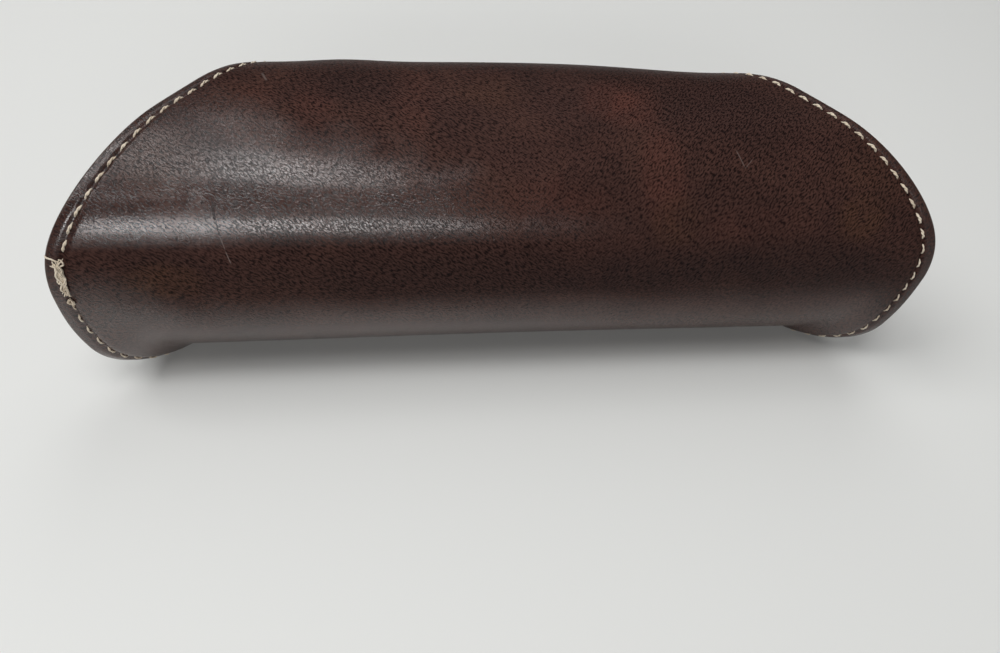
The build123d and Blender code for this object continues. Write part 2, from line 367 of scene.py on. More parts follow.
def leatherFinish(name):
    made = Finish(name, {"IOR": gloss["dull"]})
    place = made.flatPlace()
    along, around, edge = made.split(place)
    cloud = made.noise(place, *leather["cloud"])
    veins = made.noise(place, *leather["veins"])
    strokes, creases = strokesAndCreases(made, place, along, around)
    grainy = grainLeft(made, along, around, cloud)
    pits = 1 - made.step(strokes, *grain["pits"])
    lines = 1 - made.step(creases, *grain["creaseLines"])
    pores = (pits + lines * grain["creasePores"]) * grainy
    paleMarks = markMask(made, along, around, True)
    darkMarks = markMask(made, along, around, False)

    tone = stained(made, along, around, cloud, veins)
    # painted shade: every hollow of the grain, and more so pores and creases, is darkened towards a dark
    # colour
    poreShade, hollowShade = leather["hollow"]
    shaded = made.mix(pores * poreShade + hollowShade, tone, leather["hollowShadeAndMarks"])
    # the raised grain is paled: partly rubbed wear, partly painted light
    raised = made.mix(leather["litGrainShare"], tone, leather["raised"])
    colour = made.mix(made.step(strokes, *leather["shadeToLitGrain"]), shaded, raised)
    rubbed = made.step(made.noise(place, *leather["rub"]), *leather["rubbed"])
    rubbed = (1 - made.over(edge, leather["rubWidth"])) * rubbed * leather["rubTint"]
    colour = made.mix(rubbed, colour, leather["worn"])
    colour = made.mix(paleMarks, colour, leather["scratch"])
    colour = made.mix(darkMarks, colour, leather["hollowShadeAndMarks"])

    fibre = made.noise(place, *grain["fibre"])
    height = fibre * grain["relief"]["fibre"]
    for value, name in ((creases, "creases"), (strokes, "strokes")):
        rises, share = grain["relief"][name]
        height = height + made.step(value, *rises) * share
    paleDepth, darkDepth = leather["markDepth"]
    height = height * grainy - paleMarks * paleDepth - darkMarks * darkDepth
    normal = made.bump(height, 1.0, grain["depth"])

    patchy = (made.noise(place, *gloss["patchy"]) - 0.5) * gloss["patchyRoughness"]
    softTop = made.over(around, gloss["top"]) * gloss["topRoughness"]
    roughness = pores * gloss["poreRoughness"] + patchy + softTop + gloss["roughness"]
    made.set("Base Color", colour)
    made.set("Roughness", patchy + gloss["dullRoughness"])
    made.set("Normal", normal)
    glossy = {"Base Color": colour, "Roughness": roughness, "Normal": normal, "IOR": gloss["glazed"]}
    glazed = made.node("ShaderNodeBsdfPrincipled", None, glossy)
    dull = Value(made, made.shader.outputs[0])
    glaze = glazing(made, place, along, around, edge)
    both = made.node("ShaderNodeMixShader", None, {0: glaze, 1: dull, 2: glazed})
    made.feed(made.nodes["Material Output"].inputs["Surface"], both)
    return made.material


waxedThread = {
    "shader": {"Roughness": 0.62, "IOR": 1.45, "Sheen Weight": 0.15},
    "wax": (0.74, 0.64, 0.50),
    "dirt": (0.54, 0.43, 0.31),
    # painted highlight: a pale colour scattered over the thread by the fibre noise
    "fibre": (0.86, 0.79, 0.67),
    "dirtNoise": (240, 3.0),
    "dirtFrom": (0.35, 0.7),
    "fibreNoise": (5200, 2.0),
    "fibreHighlightShare": 0.35,
    "bump": (0.4, 0.06),                      # strength, and depth in mm
}


def threadFinish():
    made = Finish("waxedThread", waxedThread["shader"])
    place = made.objectPlace()
    dirt = made.step(made.noise(place, *waxedThread["dirtNoise"], flat=False), *waxedThread["dirtFrom"])
    fibre = made.noise(place, *waxedThread["fibreNoise"], flat=False)
    colour = made.mix(dirt, waxedThread["wax"], waxedThread["dirt"])
    # painted highlight, scattered over the thread by the fibre noise
    colour = made.mix(fibre * waxedThread["fibreHighlightShare"], colour, waxedThread["fibre"])
    made.set("Base Color", colour)
    made.set("Normal", made.bump(fibre, *waxedThread["bump"]))
    return made.material


suedette = {
    "shader": {"Roughness": 0.93, "Sheen Weight": 0.08, "Sheen Roughness": 0.5, "IOR": 1.3},
    "brushed": ((0.066, 0.037, 0.026), (0.105, 0.063, 0.046)),
    "between": (0.030, 0.017, 0.012),         # seen between the hairs of the nap
    "brushNoise": (65, 3.0, 0.6, 0.8),
    "brushFrom": (0.35, 0.65),
    "napNoise": (1900, 3.0, 0.7),
    "napShare": 0.5,
    "bump": (0.6, 0.15),
}


def liningFinish():
    made = Finish("suedette", suedette["shader"])
    place = made.flatPlace()
    nap = made.noise(place, *suedette["napNoise"])
    brushed = made.step(made.noise(place, *suedette["brushNoise"]), *suedette["brushFrom"])
    colour = made.mix(brushed, *suedette["brushed"])
    made.set("Base Color", made.mix(nap * suedette["napShare"], colour, suedette["between"]))
    made.set("Normal", made.bump(nap, *suedette["bump"]))
    return made.material


fibreboard = {
    "shader": {"Roughness": 0.88},
    "fibres": ((0.27, 0.215, 0.155), (0.42, 0.35, 0.27)),
    "fleck": (0.16, 0.12, 0.085),
    "fibreNoise": (900, 4.0, 0.7),
    "fleckNoise": (3000, 2.0),
    "fleckFrom": (0.6, 0.72),
    "bump": (0.4, 0.1),
}


def boardFinish():
    made = Finish("fibreboard", fibreboard["shader"])
    place = made.objectPlace()
    fibre = made.noise(place, *fibreboard["fibreNoise"], flat=False)
    fleck = made.noise(place, *fibreboard["fleckNoise"], flat=False)
    colour = made.mix(fibre, *fibreboard["fibres"])
    colour = made.mix(made.step(fleck, *fibreboard["fleckFrom"]), colour, fibreboard["fleck"])
    made.set("Base Color", colour)
    made.set("Normal", made.bump(fibre, *fibreboard["bump"]))
    return made.material


platedSteel = {
    "plate": ((0.50, 0.50, 0.51), (0.66, 0.66, 0.67)),
    "hazeNoise": (420, 4.0, 0.6),
    "roughness": (0.22, 0.2),                 # least, and what the haze adds
    "bump": (0.1, 0.05),
}


def steelFinish():
    made = Finish("platedSteel", {"Metallic": 1.0})
    haze = made.noise(made.objectPlace(), *platedSteel["hazeNoise"], flat=False)
    least, more = platedSteel["roughness"]
    made.set("Base Color", made.mix(haze, *platedSteel["plate"]))
    made.set("Roughness", haze * more + least)
    made.set("Normal", made.bump(haze, *platedSteel["bump"]))
    return made.material


finishes = {
    "leather": leatherFinish("glazedLeather"),
    "lining": liningFinish(),
    "board": boardFinish(),
    "thread": threadFinish(),
    "steel": steelFinish(),
}
print("finishes made:", ", ".join(finishes))


# camera and studio, fitted to the photograph's view

view = {
    "target": (0.0, -2.0, 18.0),              # mm
    "distance": 190.85,
    "elevation": 44.89,
    "turn": -11.1,                            # degrees round the upright
    "roll": 7.11,
    "lens": 30.62,                            # mm on a 36 mm sensor
    "shift": (-0.00106, -0.0927),
}


def placeCamera():
    up = radians(view["elevation"])
    turn = Matrix.Rotation(radians(view["turn"]), 3, "Z")
    forward = turn @ Vector((0, cos(up), -sin(up)))
    above = turn @ Vector((0, sin(up), cos(up)))
    right = turn @ Vector((1, 0, 0))
    roll = radians(view["roll"])
    tiltedRight = cos(roll) * right + sin(roll) * above
    tiltedUp = cos(roll) * above - sin(roll) * right
    camera = bpy.data.cameras.new("camera")
    camera.lens = view["lens"]
    camera.sensor_width = 36
    camera.shift_x, camera.shift_y = view["shift"]
    camera.clip_start, camera.clip_end = 0.01, 20
    holder = bpy.data.objects.new("camera", camera)
    axes = Matrix((tiltedRight, tiltedUp, -forward)).transposed().to_4x4()
    at = (Vector(view["target"]) - view["distance"] * forward) * mm
    holder.matrix_world = Matrix.Translation(at) @ axes
    bpy.context.scene.collection.objects.link(holder)
    bpy.context.scene.camera = holder


# softboxes: centre and the point that each faces, in metres, size and watts
lamps = {
    "sideBox": {"at": (-0.60, 0.04, 0.97), "to": (0.0, 0.0, 0.02), "size": (0.6, 0.6), "watts": 6.0},
    "windowBox": {"at": (-0.235, -1.0, 0.50), "to": (0.0, 0.0, 0.03), "size": (0.42, 0.22), "watts": 2.3},
    "curtainBox": {"at": (0.12, -1.03, 0.50), "to": (0.0, 0.0, 0.03), "size": (0.28, 0.22), "watts": 0.72},
    "glowBox": {"at": (-0.137, -0.30, 1.30), "to": (0.0, 0.0, 0.04), "size": (0.48, 0.60), "watts": 5.4},
    "backBox": {"at": (0.20, 0.70, 0.95), "to": (0.0, 0.0, 0.0), "size": (0.9, 0.9), "watts": 3.2},
}
studio = {
    "floor": (0.78, 0.785, 0.765),
    "floorShade": (0.725, 0.73, 0.715),
    "shadeNoise": (3.0, 3.0),
    "shadeShare": 0.3,
    "floorShader": {"Roughness": 0.5, "Specular IOR Level": 0.3},
    "halfFloor": 9.0,                         # metres
    "underCase": 0.05,                        # mm
    "world": (0.05, 0.05, 0.051),
}


def lightStudio():
    for name, lamp in lamps.items():
        light = bpy.data.lights.new(name, "AREA")
        light.shape = "RECTANGLE"
        light.size, light.size_y = lamp["size"]
        light.energy = lamp["watts"]
        holder = bpy.data.objects.new(name, light)
        at, to = Vector(lamp["at"]), Vector(lamp["to"])
        axes = (to - at).to_track_quat("-Z", "Y").to_matrix().to_4x4()
        holder.matrix_world = Matrix.Translation(at) @ axes
        bpy.context.scene.collection.objects.link(holder)
    world = bpy.data.worlds.new("studio")
    bpy.context.scene.world = world
    world.use_nodes = True
    world.node_tree.nodes["Background"].inputs["Color"].default_value = (*studio["world"], 1.0)
    bpy.context.scene.view_settings.view_transform = "Standard"


def layFloor():
    half = studio["halfFloor"]
    corners = [(-half, -half, 0), (half, -half, 0), (half, half, 0), (-half, half, 0)]
    ground = bpy.data.meshes.new("floor")
    ground.from_pydata(corners, [], [(0, 1, 2, 3)])
    floor = bpy.data.objects.new("floor", ground)
    floor.location.z = -studio["underCase"] * mm
    bpy.context.scene.collection.objects.link(floor)
    made = Finish("tableTop", studio["floorShader"])
    shade = made.noise(made.objectPlace(), *studio["shadeNoise"], flat=False) * studio["shadeShare"]
    made.set("Base Color", made.mix(shade, studio["floor"], studio["floorShade"]))
    ground.materials.append(made.material)


placeCamera()
lightStudio()
layFloor()
print("camera and studio placed")


# the case's form: one cross-section, its corners as radii, walked by distance round it

flapLow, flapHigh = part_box("flap_leather")
coverLow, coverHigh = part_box("cover_leather")
form = {
    "tip": flapHigh.x / mm,                   # half the length, at the mouth
    "farTip": 47.0,                           # half the length along the far side
    "near": flapLow.y / mm,
    "far": coverHigh.y / mm,
    "top": coverHigh.z / mm,
    "floor": coverLow.z / mm,                 # underside of the body, over the flap's tongue
    "tongueReach": flapHigh.y / mm,
    "tongueCorner": 18.0,
    "ridge": 25.0,
    "roll": 19.0,                             # the front roll as built, on average
    "rollBody": 21.0,                         # the body's front roll, and what it gains in the middle
    "rollGain": (0.9, 45.0),                  # of the mouth, over what half length
    "rollEnd": 13.5,                          # pinched at the cut ends, where it meets the table
    "rollEases": (1.5, 11.0),                 # from the cut edge
    "farTopCorner": 20.0,
    "farLowCorner": 17.0,
    "lowCorner": (1.5, 19.4, 30.0),           # past the tip, then how far the ends round in: along, up
    "flare": (1.0, 0.85, 11.0),               # ends stand out: everywhere, at the fold, half its height
    "soft": 0.5,                              # where the slanted end passes into the rounded one
    "lip": 35.0,                              # degrees of the lower lip
    "fold": 23.0,                             # degrees above level
    "cut": 8.0,                               # past the fold, where the flap's meshes meet the body's
    "leather": 1.3,
    "board": 1.2,
    "lining": 0.7,
    "glue": 0.05,
    "curl": 0.3,                              # how far the edge curls in, outside the seam
    "seam": 3.0,                              # from the cut edge to the stitches
    "pitch": 3.5,                             # of the stitches
    "stitch": 2.55,
    "firstStitch": 0.5,                       # from the fold, on both sides of it
    "seamReach": 100.0,                       # the body's seam, round from the fold
    "seamStop": 5.0,                          # the flap's seam, short of the tongue
    "furrow": (0.32, 0.6),                    # pressed in by the seam: depth and half width
    "hole": (0.3, 0.42),
    "curlFrom": 12.0,                         # the edge curls from here on, below the roll's top
    "tongueEase": (1.0, 12.0),                # wear and furrow fade out, before and past the tongue's end
}
near, far, top, floorZ = form["near"], form["far"], form["top"], form["floor"]
slope = (form["tip"] - form["farTip"]) / (far - near)
# stretches round the section, from the flap's free edge: tongue, roll, near face, ridge, top, far
# top corner, far side, far low corner, underside, lip
stretchLengths = [
    form["tongueReach"] - (near + form["roll"]),
    form["roll"] * pi / 2,
    top - form["ridge"] - form["roll"],
    form["ridge"] * pi / 2,
    far - near - form["ridge"] - form["farTopCorner"],
    form["farTopCorner"] * pi / 2,
    top - form["farTopCorner"] - floorZ - form["farLowCorner"],
    form["farLowCorner"] * pi / 2,
    far - near - form["farLowCorner"] - form["roll"],
    (form["roll"] - floorZ) * radians(form["lip"]),
]
stretchEnds = np.cumsum(stretchLengths)
tongueEnd, rollTop, ridgeStart = stretchEnds[:3]
farSideEnd, undersideStart = stretchEnds[6:8]
foldPlace = ridgeStart + form["ridge"] * radians(form["fold"])
cutPlace = foldPlace + form["cut"]
lipPlace = stretchEnds[-1]


def mixed(a, b, t):
    return a + (b - a) * t


def eased(value, low, high):
    t = np.clip((value - low) / (high - low), 0, 1)
    return t * t * (3 - 2 * t)


def bell(value):
    return np.exp(-value * value)


def sectionAt(walk, roll):
    # y, z and outward normal on the outer surface, walk measured from the flap's free edge
    walk, roll = np.broadcast_arrays(walk, roll)
    stretch = np.minimum(np.searchsorted(stretchEnds, walk, side="left"), len(stretchLengths) - 1)
    starts = np.concatenate([[0.0], stretchEnds[:-1]])
    t = (walk - starts[stretch]) / np.array(stretchLengths)[stretch]
    ridge, farTop, farLow = form["ridge"], form["farTopCorner"], form["farLowCorner"]
    level = 0 * t
    quarter, lip = pi / 2, radians(form["lip"])
    arcs = {
        1: (near + roll, roll, roll, -quarter - quarter * t),
        3: (near + ridge, top - ridge, ridge, pi - quarter * t),
        5: (far - farTop, top - farTop, farTop, quarter - quarter * t),
        7: (far - farLow, floorZ + farLow, farLow, -quarter * t),
        9: (near + roll, roll, roll - floorZ, -quarter - lip * t),
    }
    lines = {
        0: (mixed(form["tongueReach"], near + roll, t), level, level, level - 1),
        2: (level + near, mixed(roll, top - ridge, t), level - 1, level),
        4: (mixed(near + ridge, far - farTop, t), level + top, level, level + 1),
        6: (level + far, mixed(top - farTop, floorZ + farLow, t), level + 1, level),
        8: (mixed(far - farLow, near + roll, t), level + floorZ, level, level - 1),
    }
    y, z, ny, nz = [np.zeros(t.shape) for i in range(4)]
    for number, (cy, cz, radius, angle) in arcs.items():
        here = stretch == number
        y[here] = (cy + radius * np.cos(angle))[here]
        z[here] = (cz + radius * np.sin(angle))[here]
        ny[here], nz[here] = np.cos(angle)[here], np.sin(angle)[here]
    for number, values in lines.items():
        here = stretch == number
        for target, value in zip((y, z, ny, nz), values):
            target[here] = value[here]
    return y, z, ny, nz


def rollAt(x, fromEdge):
    gain, spread = form["rollGain"]
    full = form["rollBody"] + gain * bell(x / spread)
    return mixed(form["rollEnd"], full, eased(fromEdge, *form["rollEases"]))


def cutLine(y, z, walk, share=1.0):
    # half the case's length at its cut ends: slanted, flared at the fold, rounded in near the table
    always, atFold, spread = form["flare"]
    slanted = form["tip"] - slope * (y - near) + always
    slanted = slanted + share * atFold * bell((walk - foldPlace) / spread)
    past, wide, tall = form["lowCorner"]
    drop = np.clip((tall - z) / tall, 0, 1)
    rounded = form["tip"] + past - wide * (1 - np.sqrt(1 - drop**2))
    soft = form["soft"]
    return np.minimum(slanted, rounded) - soft * np.log1p(np.exp(-np.abs(slanted - rounded) / soft))


def halfLength(walk, depth=0.0):
    # from the middle of the case to the cut end, round the section and at a depth inside it
    y, z, ny, nz = sectionAt(walk, form["rollEnd"])
    y, z = y - ny * depth, z - nz * depth
    line = cutLine(y, z, walk)
    corner = form["tongueCorner"]
    centreY = form["tongueReach"] - corner
    centreX = form["tip"] - slope * (centreY - near) - corner * sqrt(1 + slope**2)
    past = np.clip(y - centreY, 0, corner)
    turned = centreX + np.sqrt(corner**2 - past**2)
    onCorner = (walk < tongueEnd) & (past > corner * sin(atan(slope)))
    return np.where(onCorner, np.minimum(line, turned), line)


# hollows and swellings of the worn leather: along, round from the fold, half sizes, height, in mm
wear = [
    (-8, 54, 34, 14, 0.55),
    (-34, 56, 9, 9, 0.75),
    (-34, 22, 26, 6.5, -0.2),
    (-40, 33, 24, 7, 0.25),
    (-61, 27, 15, 8, 0.55),
    (-27, 25, 13, 8, -0.3),
    (-8, 18, 20, 7, -0.3),
    (46, 54, 20, 16, -1.1),
    (12, 40, 22, 14, 0.35),
    (52, 14, 20, 9, -0.35),
    (-60, -16, 16, 8, 0.35),
    (58, -18, 18, 8, 0.3),
    (0, -20, 60, 7, 0.5),
]


def worn(x, walk):
    height = 0 * x
    for spotX, spotWalk, halfX, halfWalk, rise in wear:
        height = height + rise * bell((x - spotX) / halfX) * bell((walk - foldPlace - spotWalk) / halfWalk)
    return height


def seamHoles(first, last, step):
    # walks of the stitch holes, a pitch apart along the seam, starting at the fold
    walks = np.arange(first, last, step)
    half = halfLength(walks) - form["seam"]
    y, z, _, _ = sectionAt(walks, rollAt(half, form["seam"]))
    along = np.stack([half, y, z], -1)
    travel = np.concatenate([[0], np.cumsum(np.linalg.norm(np.diff(along, axis=0), axis=1))])
    starts = np.arange(form["firstStitch"], travel[-1] - form["stitch"], form["pitch"])
    return np.interp(np.stack([starts, starts + form["stitch"]], -1), travel, walks)


seamUp = seamHoles(foldPlace, foldPlace + form["seamReach"], 0.05)
seamDown = seamHoles(foldPlace, tongueEnd + form["seamStop"], -0.05)
holes = np.sort(np.concatenate([seamUp.ravel(), seamDown.ravel()]))


def surfaceAt(x, walk, fromEdge, depth):
    # points at a depth under the worn outer surface, and the section's normals there
    y, z, ny, nz = sectionAt(walk, rollAt(x, fromEdge))
    furrowDepth, furrowHalf = form["furrow"]
    pulled = -furrowDepth * bell((fromEdge - form["seam"]) / furrowHalf)
    curl = np.clip(form["seam"] - fromEdge, 0, None) / form["seam"]
    pulled = pulled - form["curl"] * curl**2 * eased(walk, rollTop - form["curlFrom"], ridgeStart)
    after = np.clip(np.searchsorted(holes, walk), 1, len(holes) - 1)
    toHole = np.minimum(np.abs(walk - holes[after - 1]), np.abs(walk - holes[after]))
    holeDepth, holeHalf = form["hole"]
    pulled = pulled - holeDepth * bell(toHole / holeHalf) * bell((fromEdge - form["seam"]) / holeHalf)
    before, past = form["tongueEase"]
    offTable = 1 - eased(walk, farSideEnd, undersideStart) * (walk > cutPlace)
    offTable = offTable * eased(walk, tongueEnd - before, tongueEnd + past)
    shift = worn(x, walk) * offTable + pulled * offTable - depth
    return np.stack([x, y + ny * shift, z + nz * shift], -1), np.stack([0 * ny, ny, nz], -1)


# rows and columns of the sheets in mm, closer together where they bend
spacing = {
    "edge": 0.5,                              # radius of a sheet's cut edge
    "edgeShare": 0.4,                         # or this share of its thickness, if that is less
    "edgePoints": 5,
    "nearEnd": 9.0,                           # closer columns up to here from a cut end
    "foldHalf": 3.6,                          # closer rows on both sides of the fold
    "foldStep": 0.4,
    "least": 0.03,                            # rows nearer than this are taken as one
}
edgeTurns = np.linspace(0, pi / 2, spacing["edgePoints"])
roundedEdge = [spacing["edge"] * (1 - cos(a)) for a in edgeTurns]


def columnsFor(back, step, dense):
    # places along the case: near an end by distance from the cut edge, between by share
    rounded = [back + r for r in roundedEdge]
    close = np.arange(rounded[-1] + dense, back + spacing["nearEnd"], dense)
    margin = np.array([*rounded, *close])
    count = int(2 * (form["tip"] - margin[-1]) / step)
    shares = np.linspace(0, 1, count)[1:-1]
    return margin, shares


def sheetGrid(walks, back, reach, step, dense):
    margin, shares = columnsFor(back, step, dense)
    half = halfLength(walks, reach)[:, None]
    left = -half + margin[None, :]
    right = half - margin[None, ::-1]
    inner = mixed(left[:, -1:], right[:, :1], shares[None, :])
    x = np.concatenate([left, inner, right], 1)
    return x, np.repeat(walks[:, None], x.shape[1], 1), half - np.abs(x)


def roundedDrop(distance, radius):
    inside = np.clip(radius - distance, 0, radius)
    return radius - np.sqrt(radius**2 - inside**2)


def gridNormals(points, outward):
    across = np.gradient(points, axis=1)
    down = np.gradient(points, axis=0)
    normals = np.cross(across, down)
    normals /= np.linalg.norm(normals, axis=-1, keepdims=True) + 1e-12
    middle = (normals * outward).sum(-1).mean()
    return normals if middle > 0 else -normals


def makeObject(name, points, faces, finish, flatPlace=None, normals=None):
    mesh = bpy.data.meshes.new(name)
    mesh.from_pydata((np.asarray(points) * mm).tolist(), [], faces)
    mesh.polygons.foreach_set("use_smooth", [True] * len(mesh.polygons))
    if flatPlace is not None:
        stored = mesh.attributes.new("flatPlace", "FLOAT_VECTOR", "POINT")
        stored.data.foreach_set("vector", (np.asarray(flatPlace) * mm).astype(np.float32).ravel())
    mesh.validate()
    if normals is not None:
        mesh.normals_split_custom_set_from_vertices(np.asarray(normals).tolist())
    made = bpy.data.objects.new(name, mesh)
    bpy.context.scene.collection.objects.link(made)
    mesh.materials.append(finishes[finish])
    return made


def solidSheet(name, walks, back, thickness, depth, finish, step, dense,
               only=slice(None), rounded=(True, True), reach=0.0):
    # closed sheet, its depth a number or a function of the place; reach is the depth that its length
    # fits, rounded says which of its first and last edges are, and only picks some of its rows
    x, walk, fromEdge = sheetGrid(walks, back, reach, step, dense)
    limit = fromEdge - back
    if rounded[0]:
        limit = np.minimum(limit, walk - walks[0])
    if rounded[1]:
        limit = np.minimum(limit, walks[-1] - walk)
    outerDepth = depth(fromEdge, walk) if callable(depth) else depth
    radius = min(spacing["edge"], thickness * spacing["edgeShare"])
    drop = roundedDrop(limit * radius / spacing["edge"], radius)
    outer, way = surfaceAt(x, walk, fromEdge, outerDepth + drop)
    inner, _ = surfaceAt(x, walk, fromEdge, outerDepth + thickness - drop)
    outerNormals = gridNormals(outer, way)
    innerNormals = -gridNormals(inner, way)
    flat = np.stack([x, walk - foldPlace, fromEdge], -1)
    grids = [g[only] for g in (outer, inner, flat, outerNormals, innerNormals)]
    return solidGrid(name, *grids, finish)


def solidGrid(name, outer, inner, flat, outerNormals, innerNormals, finish):
    rows, columns = outer.shape[:2]
    number = np.arange(rows * columns).reshape(rows, columns)
    a, b, c, d = number[:-1, :-1], number[:-1, 1:], number[1:, 1:], number[1:, :-1]
    front = np.stack([a, b, c, d], -1).reshape(-1, 4)
    back = np.stack([d, c, b, a], -1).reshape(-1, 4) + rows * columns
    loop = np.concatenate([number[0, :-1], number[:-1, -1], number[-1, :0:-1], number[:0:-1, 0]])
    after = np.roll(loop, -1)
    rim = np.stack([after, loop, loop + rows * columns, after + rows * columns], -1)
    faces = np.concatenate([front, back, rim])
    points = np.concatenate([outer.reshape(-1, 3), inner.reshape(-1, 3)])
    first, second, third = points[front[:, 0]], points[front[:, 1]], points[front[:, 2]]
    facing = (np.cross(second - first, third - second) * outerNormals.reshape(-1, 3)[front[:, 0]]).sum()
    if facing < 0:
        faces = faces[:, ::-1]
    normals = np.concatenate([outerNormals.reshape(-1, 3), innerNormals.reshape(-1, 3)])
    flatPlace = np.concatenate([flat.reshape(-1, 3)] * 2)
    return makeObject(name, points, faces.tolist(), finish, flatPlace, normals)


def bendOverFold(piece):
    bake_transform(piece)


def walksBetween(first, last, step):
    half = spacing["foldHalf"]
    finer = np.arange(foldPlace - half, foldPlace + half, spacing["foldStep"])
    values = [*np.arange(first, last, step), last, *finer, cutPlace]
    values += [first + r for r in roundedEdge] + [last - r for r in roundedEdge]
    values = np.unique(np.round([v for v in values if first <= v <= last], 4))
    kept = [values[0]]
    for v in values[1:]:
        if v - kept[-1] > spacing["least"]:
            kept.append(v)
    return np.array(kept)


outside = {
    "rowStep": 0.45,                          # between rows, round the section
    "step": 1.8,                              # between columns
    "dense": 0.36,                            # the same near the cut ends
}


def makeLeather():
    walks = walksBetween(0, lipPlace, outside["rowStep"])
    cut = int(np.argmin(np.abs(walks - cutPlace)))
    common = dict(back=0.0, thickness=form["leather"], depth=0.0, finish="leather",
                  step=outside["step"], dense=outside["dense"])
    flap = solidSheet("flapLeather", walks, only=slice(0, cut + 1), **common)
    bendOverFold(flap)
    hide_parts("flap_leather")
    cover = solidSheet("coverLeather", walks, only=slice(cut, None), **common)
    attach(cover, "body")
    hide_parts("cover_leather")
    print("leather made:", len(walks), "rows, cut at", cut)


makeLeather()

# boards and linings of the wall, from the same section

inside = {
    "boardBack": 8.9,                         # body's board, back from the cut ends
    "liningBack": 8.4,
    "flapBoardBack": 6.0,
    "tongueBoardBack": 5.0,
    "liningSetback": 0.5,                     # flap's lining, back from the leather's edge
    "letDown": 2.2,                           # over how much the lining comes down off the board
    "foldGap": 0.6,                           # boards stop short of the fold line
    "lipBoardBack": 5.4,                      # body's board, short of the lower lip
    "lipSeam": 2.5,                           # the lip's stitches, from its edge
    "lipSeamEnd": 12.0,                       # and where they stop, from the end linings
    "liningLip": 0.2,                         # body's lining, short of the lower lip
    "rowStep": 1.2,
    "step": 3.0,
    "dense": 1.2,
}
boardDepth = form["leather"] + form["glue"]
liningDepth = boardDepth + form["board"] + form["glue"]


def flapLiningDepth(fromEdge, walk):
    onBoard = eased(fromEdge, inside["flapBoardBack"] - inside["letDown"], inside["flapBoardBack"])
    offTip = eased(walk, inside["tongueBoardBack"] - inside["letDown"], inside["tongueBoardBack"])
    return mixed(boardDepth, liningDepth, onBoard * offTip)


def coverLiningDepth(fromEdge, walk):
    stop = lipPlace - inside["lipBoardBack"]
    return mixed(liningDepth, boardDepth, eased(walk, stop, stop + inside["letDown"])) + 0 * fromEdge


def makeWalls():
    coarse = dict(step=inside["step"], dense=inside["dense"])
    board = dict(thickness=form["board"], depth=boardDepth, finish="board", **coarse)
    lining = dict(thickness=form["lining"], finish="lining", **coarse)
    gap = inside["foldGap"]
    pieces = [
        ("flapBoard", "flap", "flap_board", (inside["tongueBoardBack"], foldPlace - gap),
         dict(back=inside["flapBoardBack"], **board)),
        ("coverBoard", "body", "cover_board", (foldPlace + gap, lipPlace - inside["lipBoardBack"]),
         dict(back=inside["boardBack"], reach=boardDepth, **board)),
        ("coverLining", "body", "cover_lining", (cutPlace, lipPlace - inside["liningLip"]),
         dict(back=inside["liningBack"], depth=coverLiningDepth, reach=liningDepth,
              rounded=(False, True), **lining)),
        ("flapLining", None, "flap_lining", (inside["liningSetback"], cutPlace),
         dict(back=inside["liningSetback"], depth=flapLiningDepth, rounded=(True, False), **lining)),
    ]
    for name, body, node, (first, last), settings in pieces:
        walks = walksBetween(first, last, inside["rowStep"])
        made = solidSheet(name, walks, **settings)
        if body:
            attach(made, body)
        else:
            bendOverFold(made)
        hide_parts(node)
        if settings["finish"] == "lining":
            half = (halfLength(walks) - settings["back"]) * mm
            width, length = 2 * half.max(), (last - first) * mm
            area = 2 * half.mean() * length
            print(name, "is cut from", round(width / mm, 1), "by", round(length / mm, 1), "mm")


makeWalls()
print("boards and linings made")


# ends: a slanted panel with its rim turned outwards against the cover, its board, and its lining,
# which is turned over the board's edge at the mouth

ends = {
    "setback": 0.6,                           # rim, from the cover's cut edge
    "panelBack": 4.5,
    "leather": 1.2,
    "bend": 1.3,                              # radius where the rim turns into the panel
    "edge": 0.35,                             # radius of the rim's own edge
    "bulge": 0.9,
    "clear": 0.1,                             # board and lining, inside the cover
    "offFold": 1.2,                           # a ring's points next to the fold
    "mouthStops": 3.0,                        # its stretch over the mouth ends below the fold
    "intoFold": (0.75, 0.3),                  # and how far its last two points belong to the mouth
    "middleShift": -2.0,                      # rings shrink towards a point nearer the mouth
    "wearFrom": 12.0,                         # the cover's hollows come in over this, from the fold
    "turnOver": (0.3, 0.1),                   # the lining's edge, where it isn't turned over
    "bodyPoints": 150,                        # of a ring, along the body's wall
    "mouthPoints": 33,
    "cornerPoints": 6,
    "rings": 14,
    "lastRing": 0.06,                         # its share of the full size
    "sharp": 50.0,                            # degrees
    "fineness": 1.25,                         # of the grain, next to the cover's
    "hidePlace": (90.0, 9.0),                 # cut from another part of the hide, off its edge
}


def endLoop():
    # walks once round the body's inside, and how far each point belongs to the mouth
    body = np.linspace(foldPlace + ends["offFold"], lipPlace, ends["bodyPoints"])
    lipTop = tongueEnd + form["roll"] * radians(form["lip"])
    mouth = np.linspace(lipTop, foldPlace - ends["mouthStops"], ends["mouthPoints"] + 1)[1:]
    atMouth = np.concatenate([0 * body, 0 * mouth + 1, ends["intoFold"]])
    return np.concatenate([body, mouth, [foldPlace - ends["offFold"], foldPlace]]), atMouth


